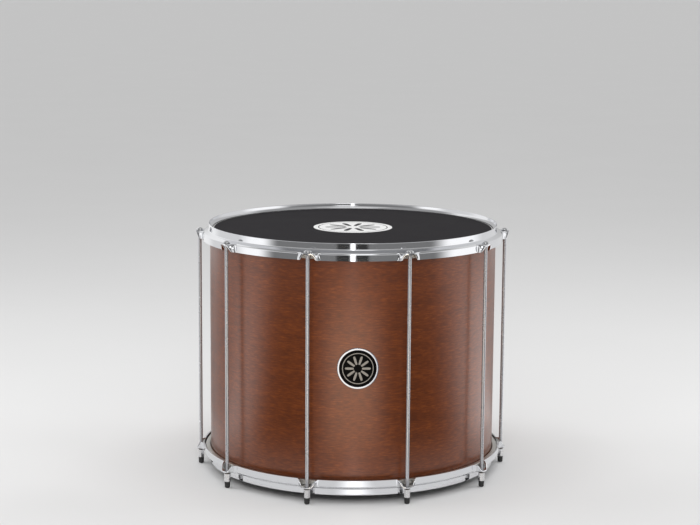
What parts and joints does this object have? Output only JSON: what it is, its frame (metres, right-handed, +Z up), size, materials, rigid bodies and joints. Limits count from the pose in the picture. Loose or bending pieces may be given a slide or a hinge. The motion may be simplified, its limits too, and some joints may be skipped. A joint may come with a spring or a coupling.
{
  "type": "surdo",
  "caption": "Wooden bass drum for samba, with a head at each end, chromed counter hoops, long tension rods and rubber feet on the tension nuts.",
  "frame": {"origin": "on the floor, on the drum's axis, under the rubber feet", "axes": "+Z up along the axis, -Y towards the badge, +X to the right as seen from the badge side"},
  "size_m": [0.5568, 0.532, 0.44],
  "materials": {
    "shell_wood": "mahogany veneer under a satin lacquer",
    "badge_face": "black enamel",
    "badge_rim": "polished",
    "head_skin": "matt, finely grained, with a plain white disc at the centre",
    "flesh_hoop_metal": "dull mill finish",
    "hoop_chrome": "bright chrome on pressed steel",
    "rod_chrome": "bright chrome",
    "washer_steel": "dark plated",
    "nut_chrome": "satin chrome",
    "foot_rubber": "matt black"
  },
  "bodies": {
    "drum": {"shell": "shell_wood", "badge_plate": "badge_face", "badge_rim": "badge_rim", "top_head": "head_skin", "top_flesh_hoop": "flesh_hoop_metal", "top_hoop": "hoop_chrome", "bottom_head": "head_skin", "bottom_flesh_hoop": "flesh_hoop_metal", "bottom_hoop": "hoop_chrome", "tension_rod_01": "rod_chrome", "tension_rod_02": "rod_chrome", "tension_rod_03": "rod_chrome", "tension_rod_04": "rod_chrome", "tension_rod_05": "rod_chrome", "tension_rod_06": "rod_chrome", "tension_rod_07": "rod_chrome", "tension_rod_08": "rod_chrome", "tension_rod_09": "rod_chrome", "tension_rod_10": "rod_chrome"},
    "nut_carriage_01": {"washer_01": "washer_steel"},
    "nut_01": {"tension_nut_01": "nut_chrome", "rubber_foot_01": "foot_rubber"},
    "nut_carriage_02": {"washer_02": "washer_steel"},
    "nut_02": {"tension_nut_02": "nut_chrome", "rubber_foot_02": "foot_rubber"},
    "nut_carriage_03": {"washer_03": "washer_steel"},
    "nut_03": {"tension_nut_03": "nut_chrome", "rubber_foot_03": "foot_rubber"},
    "nut_carriage_04": {"washer_04": "washer_steel"},
    "nut_04": {"tension_nut_04": "nut_chrome", "rubber_foot_04": "foot_rubber"},
    "nut_carriage_05": {"washer_05": "washer_steel"},
    "nut_05": {"tension_nut_05": "nut_chrome", "rubber_foot_05": "foot_rubber"},
    "nut_carriage_06": {"washer_06": "washer_steel"},
    "nut_06": {"tension_nut_06": "nut_chrome", "rubber_foot_06": "foot_rubber"},
    "nut_carriage_07": {"washer_07": "washer_steel"},
    "nut_07": {"tension_nut_07": "nut_chrome", "rubber_foot_07": "foot_rubber"},
    "nut_carriage_08": {"washer_08": "washer_steel"},
    "nut_08": {"tension_nut_08": "nut_chrome", "rubber_foot_08": "foot_rubber"},
    "nut_carriage_09": {"washer_09": "washer_steel"},
    "nut_09": {"tension_nut_09": "nut_chrome", "rubber_foot_09": "foot_rubber"},
    "nut_carriage_10": {"washer_10": "washer_steel"},
    "nut_10": {"tension_nut_10": "nut_chrome", "rubber_foot_10": "foot_rubber"}
  },
  "joints": [
    {"name": "nut_01_travel", "type": "slide", "parent": "drum", "child": "nut_carriage_01", "axis": [0, 0, -1], "range_m": [0, 0.006]},
    {"name": "nut_01_turn", "type": "hinge", "parent": "nut_carriage_01", "child": "nut_01", "pos_m": [0.08374, -0.25774, 0.018], "axis": [0, 0, -1], "range_deg": [0, 2160]},
    {"name": "nut_02_travel", "type": "slide", "parent": "drum", "child": "nut_carriage_02", "axis": [0, 0, -1], "range_m": [0, 0.006]},
    {"name": "nut_02_turn", "type": "hinge", "parent": "nut_carriage_02", "child": "nut_02", "pos_m": [0.21924, -0.15929, 0.018], "axis": [0, 0, -1], "range_deg": [0, 2160]},
    {"name": "nut_03_travel", "type": "slide", "parent": "drum", "child": "nut_carriage_03", "axis": [0, 0, -1], "range_m": [0, 0.006]},
    {"name": "nut_03_turn", "type": "hinge", "parent": "nut_carriage_03", "child": "nut_03", "pos_m": [0.271, 0, 0.018], "axis": [0, 0, -1], "range_deg": [0, 2160]},
    {"name": "nut_04_travel", "type": "slide", "parent": "drum", "child": "nut_carriage_04", "axis": [0, 0, -1], "range_m": [0, 0.006]},
    {"name": "nut_04_turn", "type": "hinge", "parent": "nut_carriage_04", "child": "nut_04", "pos_m": [0.21924, 0.15929, 0.018], "axis": [0, 0, -1], "range_deg": [0, 2160]},
    {"name": "nut_05_travel", "type": "slide", "parent": "drum", "child": "nut_carriage_05", "axis": [0, 0, -1], "range_m": [0, 0.006]},
    {"name": "nut_05_turn", "type": "hinge", "parent": "nut_carriage_05", "child": "nut_05", "pos_m": [0.08374, 0.25774, 0.018], "axis": [0, 0, -1], "range_deg": [0, 2160]},
    {"name": "nut_06_travel", "type": "slide", "parent": "drum", "child": "nut_carriage_06", "axis": [0, 0, -1], "range_m": [0, 0.006]},
    {"name": "nut_06_turn", "type": "hinge", "parent": "nut_carriage_06", "child": "nut_06", "pos_m": [-0.08374, 0.25774, 0.018], "axis": [0, 0, -1], "range_deg": [0, 2160]},
    {"name": "nut_07_travel", "type": "slide", "parent": "drum", "child": "nut_carriage_07", "axis": [0, 0, -1], "range_m": [0, 0.006]},
    {"name": "nut_07_turn", "type": "hinge", "parent": "nut_carriage_07", "child": "nut_07", "pos_m": [-0.21924, 0.15929, 0.018], "axis": [0, 0, -1], "range_deg": [0, 2160]},
    {"name": "nut_08_travel", "type": "slide", "parent": "drum", "child": "nut_carriage_08", "axis": [0, 0, -1], "range_m": [0, 0.006]},
    {"name": "nut_08_turn", "type": "hinge", "parent": "nut_carriage_08", "child": "nut_08", "pos_m": [-0.271, 0, 0.018], "axis": [0, 0, -1], "range_deg": [0, 2160]},
    {"name": "nut_09_travel", "type": "slide", "parent": "drum", "child": "nut_carriage_09", "axis": [0, 0, -1], "range_m": [0, 0.006]},
    {"name": "nut_09_turn", "type": "hinge", "parent": "nut_carriage_09", "child": "nut_09", "pos_m": [-0.21924, -0.15929, 0.018], "axis": [0, 0, -1], "range_deg": [0, 2160]},
    {"name": "nut_10_travel", "type": "slide", "parent": "drum", "child": "nut_carriage_10", "axis": [0, 0, -1], "range_m": [0, 0.006]},
    {"name": "nut_10_turn", "type": "hinge", "parent": "nut_carriage_10", "child": "nut_10", "pos_m": [-0.08374, -0.25774, 0.018], "axis": [0, 0, -1], "range_deg": [0, 2160]}
  ],
  "couplings": [
    {"joint": "nut_01_travel", "follows": "nut_01_turn", "m_per_rad": 0.00015915},
    {"joint": "nut_02_travel", "follows": "nut_02_turn", "m_per_rad": 0.00015915},
    {"joint": "nut_03_travel", "follows": "nut_03_turn", "m_per_rad": 0.00015915},
    {"joint": "nut_04_travel", "follows": "nut_04_turn", "m_per_rad": 0.00015915},
    {"joint": "nut_05_travel", "follows": "nut_05_turn", "m_per_rad": 0.00015915},
    {"joint": "nut_06_travel", "follows": "nut_06_turn", "m_per_rad": 0.00015915},
    {"joint": "nut_07_travel", "follows": "nut_07_turn", "m_per_rad": 0.00015915},
    {"joint": "nut_08_travel", "follows": "nut_08_turn", "m_per_rad": 0.00015915},
    {"joint": "nut_09_travel", "follows": "nut_09_turn", "m_per_rad": 0.00015915},
    {"joint": "nut_10_travel", "follows": "nut_10_turn", "m_per_rad": 0.00015915}
  ]
}
